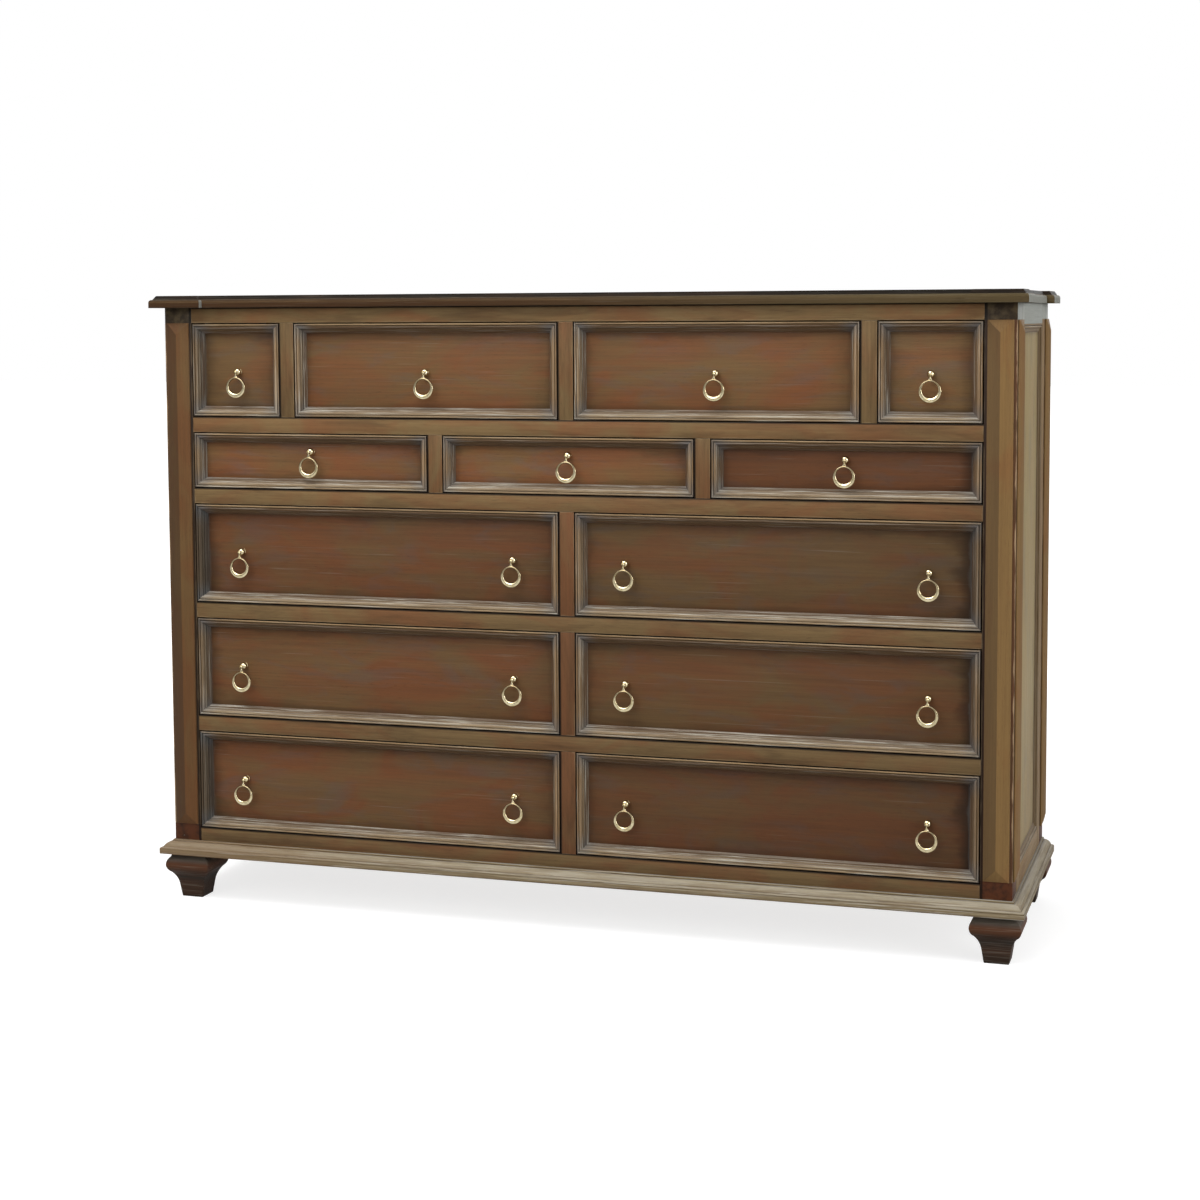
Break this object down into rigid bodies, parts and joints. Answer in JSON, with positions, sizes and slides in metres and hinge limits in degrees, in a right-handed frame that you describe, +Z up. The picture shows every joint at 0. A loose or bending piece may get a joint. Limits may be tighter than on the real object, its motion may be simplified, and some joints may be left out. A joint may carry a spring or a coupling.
{
  "type": "dresser",
  "caption": "Wide wooden dresser with rows of inset moulded drawers, corner posts with ridged pilasters, moulded base, bulb feet and brass ring pulls on hinges.",
  "frame": {"origin": "on the floor, under the middle of the top board", "axes": "+X to the right seen from the front, +Y to the back, +Z up"},
  "size_m": [1.658, 0.53, 1.1685],
  "materials": {
    "stained_wood": "stained and waxed",
    "dark_wood": "dark stained and waxed",
    "plain_wood": "bare",
    "brass": "polished"
  },
  "bodies": {
    "carcass": {"top_board": "dark_wood", "front_left_post": "stained_wood", "front_right_post": "stained_wood", "rear_left_post": "stained_wood", "rear_right_post": "stained_wood", "left_side_panel": "stained_wood", "right_side_panel": "stained_wood", "face_frame_rails": "stained_wood", "face_frame_stiles": "stained_wood", "base_moulding": "stained_wood", "bottom_board": "plain_wood", "feet": "dark_wood", "back_panel": "plain_wood", "web_frames": "plain_wood", "drawer_guides": "plain_wood"},
    "body_drawer_top_far_left": {"drawer_top_far_left": "stained_wood", "pull_studs_top_far_left": "brass"},
    "body_ring_top_far_left": {"ring_top_far_left": "brass"},
    "body_drawer_top_left": {"drawer_top_left": "stained_wood", "pull_studs_top_left": "brass"},
    "body_ring_top_left": {"ring_top_left": "brass"},
    "body_drawer_top_right": {"drawer_top_right": "stained_wood", "pull_studs_top_right": "brass"},
    "body_ring_top_right": {"ring_top_right": "brass"},
    "body_drawer_top_far_right": {"drawer_top_far_right": "stained_wood", "pull_studs_top_far_right": "brass"},
    "body_ring_top_far_right": {"ring_top_far_right": "brass"},
    "body_drawer_second_left": {"drawer_second_left": "stained_wood", "pull_studs_second_left": "brass"},
    "body_ring_second_left": {"ring_second_left": "brass"},
    "body_drawer_second_centre": {"drawer_second_centre": "stained_wood", "pull_studs_second_centre": "brass"},
    "body_ring_second_centre": {"ring_second_centre": "brass"},
    "body_drawer_second_right": {"drawer_second_right": "stained_wood", "pull_studs_second_right": "brass"},
    "body_ring_second_right": {"ring_second_right": "brass"},
    "body_drawer_third_left": {"drawer_third_left": "stained_wood", "pull_studs_third_left": "brass"},
    "body_ring_third_left_outer": {"ring_third_left_outer": "brass"},
    "body_ring_third_left_inner": {"ring_third_left_inner": "brass"},
    "body_drawer_third_right": {"drawer_third_right": "stained_wood", "pull_studs_third_right": "brass"},
    "body_ring_third_right_inner": {"ring_third_right_inner": "brass"},
    "body_ring_third_right_outer": {"ring_third_right_outer": "brass"},
    "body_drawer_fourth_left": {"drawer_fourth_left": "stained_wood", "pull_studs_fourth_left": "brass"},
    "body_ring_fourth_left_outer": {"ring_fourth_left_outer": "brass"},
    "body_ring_fourth_left_inner": {"ring_fourth_left_inner": "brass"},
    "body_drawer_fourth_right": {"drawer_fourth_right": "stained_wood", "pull_studs_fourth_right": "brass"},
    "body_ring_fourth_right_inner": {"ring_fourth_right_inner": "brass"},
    "body_ring_fourth_right_outer": {"ring_fourth_right_outer": "brass"},
    "body_drawer_bottom_left": {"drawer_bottom_left": "stained_wood", "pull_studs_bottom_left": "brass"},
    "body_ring_bottom_left_outer": {"ring_bottom_left_outer": "brass"},
    "body_ring_bottom_left_inner": {"ring_bottom_left_inner": "brass"},
    "body_drawer_bottom_right": {"drawer_bottom_right": "stained_wood", "pull_studs_bottom_right": "brass"},
    "body_ring_bottom_right_inner": {"ring_bottom_right_inner": "brass"},
    "body_ring_bottom_right_outer": {"ring_bottom_right_outer": "brass"}
  },
  "joints": [
    {"name": "slide_top_far_left", "type": "slide", "parent": "carcass", "child": "body_drawer_top_far_left", "axis": [0, -1, 0], "range_m": [0, 0.34]},
    {"name": "swing_top_far_left", "type": "hinge", "parent": "body_drawer_top_far_left", "child": "body_ring_top_far_left", "pos_m": [-0.65825, -0.241, 1.024], "axis": [-1, 0, 0], "range_deg": [-14, 160]},
    {"name": "slide_top_left", "type": "slide", "parent": "carcass", "child": "body_drawer_top_left", "axis": [0, -1, 0], "range_m": [0, 0.34]},
    {"name": "swing_top_left", "type": "hinge", "parent": "body_drawer_top_left", "child": "body_ring_top_left", "pos_m": [-0.276, -0.241, 1.024], "axis": [-1, 0, 0], "range_deg": [-14, 160]},
    {"name": "slide_top_right", "type": "slide", "parent": "carcass", "child": "body_drawer_top_right", "axis": [0, -1, 0], "range_m": [0, 0.34]},
    {"name": "swing_top_right", "type": "hinge", "parent": "body_drawer_top_right", "child": "body_ring_top_right", "pos_m": [0.276, -0.241, 1.024], "axis": [-1, 0, 0], "range_deg": [-14, 160]},
    {"name": "slide_top_far_right", "type": "slide", "parent": "carcass", "child": "body_drawer_top_far_right", "axis": [0, -1, 0], "range_m": [0, 0.34]},
    {"name": "swing_top_far_right", "type": "hinge", "parent": "body_drawer_top_far_right", "child": "body_ring_top_far_right", "pos_m": [0.65825, -0.241, 1.024], "axis": [-1, 0, 0], "range_deg": [-14, 160]},
    {"name": "slide_second_left", "type": "slide", "parent": "carcass", "child": "body_drawer_second_left", "axis": [0, -1, 0], "range_m": [0, 0.34]},
    {"name": "swing_second_left", "type": "hinge", "parent": "body_drawer_second_left", "child": "body_ring_second_left", "pos_m": [-0.50967, -0.241, 0.874], "axis": [-1, 0, 0], "range_deg": [-14, 160]},
    {"name": "slide_second_centre", "type": "slide", "parent": "carcass", "child": "body_drawer_second_centre", "axis": [0, -1, 0], "range_m": [0, 0.34]},
    {"name": "swing_second_centre", "type": "hinge", "parent": "body_drawer_second_centre", "child": "body_ring_second_centre", "pos_m": [0, -0.241, 0.874], "axis": [-1, 0, 0], "range_deg": [-14, 160]},
    {"name": "slide_second_right", "type": "slide", "parent": "carcass", "child": "body_drawer_second_right", "axis": [0, -1, 0], "range_m": [0, 0.34]},
    {"name": "swing_second_right", "type": "hinge", "parent": "body_drawer_second_right", "child": "body_ring_second_right", "pos_m": [0.50967, -0.241, 0.874], "axis": [-1, 0, 0], "range_deg": [-14, 160]},
    {"name": "slide_third_left", "type": "slide", "parent": "carcass", "child": "body_drawer_third_left", "axis": [0, -1, 0], "range_m": [0, 0.34]},
    {"name": "swing_third_left_outer", "type": "hinge", "parent": "body_drawer_third_left", "child": "body_ring_third_left_outer", "pos_m": [-0.65725, -0.241, 0.68025], "axis": [-1, 0, 0], "range_deg": [-14, 160]},
    {"name": "swing_third_left_inner", "type": "hinge", "parent": "body_drawer_third_left", "child": "body_ring_third_left_inner", "pos_m": [-0.10725, -0.241, 0.68025], "axis": [-1, 0, 0], "range_deg": [-14, 160]},
    {"name": "slide_third_right", "type": "slide", "parent": "carcass", "child": "body_drawer_third_right", "axis": [0, -1, 0], "range_m": [0, 0.34]},
    {"name": "swing_third_right_inner", "type": "hinge", "parent": "body_drawer_third_right", "child": "body_ring_third_right_inner", "pos_m": [0.10725, -0.241, 0.68025], "axis": [-1, 0, 0], "range_deg": [-14, 160]},
    {"name": "swing_third_right_outer", "type": "hinge", "parent": "body_drawer_third_right", "child": "body_ring_third_right_outer", "pos_m": [0.65725, -0.241, 0.68025], "axis": [-1, 0, 0], "range_deg": [-14, 160]},
    {"name": "slide_fourth_left", "type": "slide", "parent": "carcass", "child": "body_drawer_fourth_left", "axis": [0, -1, 0], "range_m": [0, 0.34]},
    {"name": "swing_fourth_left_outer", "type": "hinge", "parent": "body_drawer_fourth_left", "child": "body_ring_fourth_left_outer", "pos_m": [-0.65725, -0.241, 0.46025], "axis": [-1, 0, 0], "range_deg": [-14, 160]},
    {"name": "swing_fourth_left_inner", "type": "hinge", "parent": "body_drawer_fourth_left", "child": "body_ring_fourth_left_inner", "pos_m": [-0.10725, -0.241, 0.46025], "axis": [-1, 0, 0], "range_deg": [-14, 160]},
    {"name": "slide_fourth_right", "type": "slide", "parent": "carcass", "child": "body_drawer_fourth_right", "axis": [0, -1, 0], "range_m": [0, 0.34]},
    {"name": "swing_fourth_right_inner", "type": "hinge", "parent": "body_drawer_fourth_right", "child": "body_ring_fourth_right_inner", "pos_m": [0.10725, -0.241, 0.46025], "axis": [-1, 0, 0], "range_deg": [-14, 160]},
    {"name": "swing_fourth_right_outer", "type": "hinge", "parent": "body_drawer_fourth_right", "child": "body_ring_fourth_right_outer", "pos_m": [0.65725, -0.241, 0.46025], "axis": [-1, 0, 0], "range_deg": [-14, 160]},
    {"name": "slide_bottom_left", "type": "slide", "parent": "carcass", "child": "body_drawer_bottom_left", "axis": [0, -1, 0], "range_m": [0, 0.34]},
    {"name": "swing_bottom_left_outer", "type": "hinge", "parent": "body_drawer_bottom_left", "child": "body_ring_bottom_left_outer", "pos_m": [-0.65725, -0.241, 0.24025], "axis": [-1, 0, 0], "range_deg": [-14, 160]},
    {"name": "swing_bottom_left_inner", "type": "hinge", "parent": "body_drawer_bottom_left", "child": "body_ring_bottom_left_inner", "pos_m": [-0.10725, -0.241, 0.24025], "axis": [-1, 0, 0], "range_deg": [-14, 160]},
    {"name": "slide_bottom_right", "type": "slide", "parent": "carcass", "child": "body_drawer_bottom_right", "axis": [0, -1, 0], "range_m": [0, 0.34]},
    {"name": "swing_bottom_right_inner", "type": "hinge", "parent": "body_drawer_bottom_right", "child": "body_ring_bottom_right_inner", "pos_m": [0.10725, -0.241, 0.24025], "axis": [-1, 0, 0], "range_deg": [-14, 160]},
    {"name": "swing_bottom_right_outer", "type": "hinge", "parent": "body_drawer_bottom_right", "child": "body_ring_bottom_right_outer", "pos_m": [0.65725, -0.241, 0.24025], "axis": [-1, 0, 0], "range_deg": [-14, 160]}
  ]
}
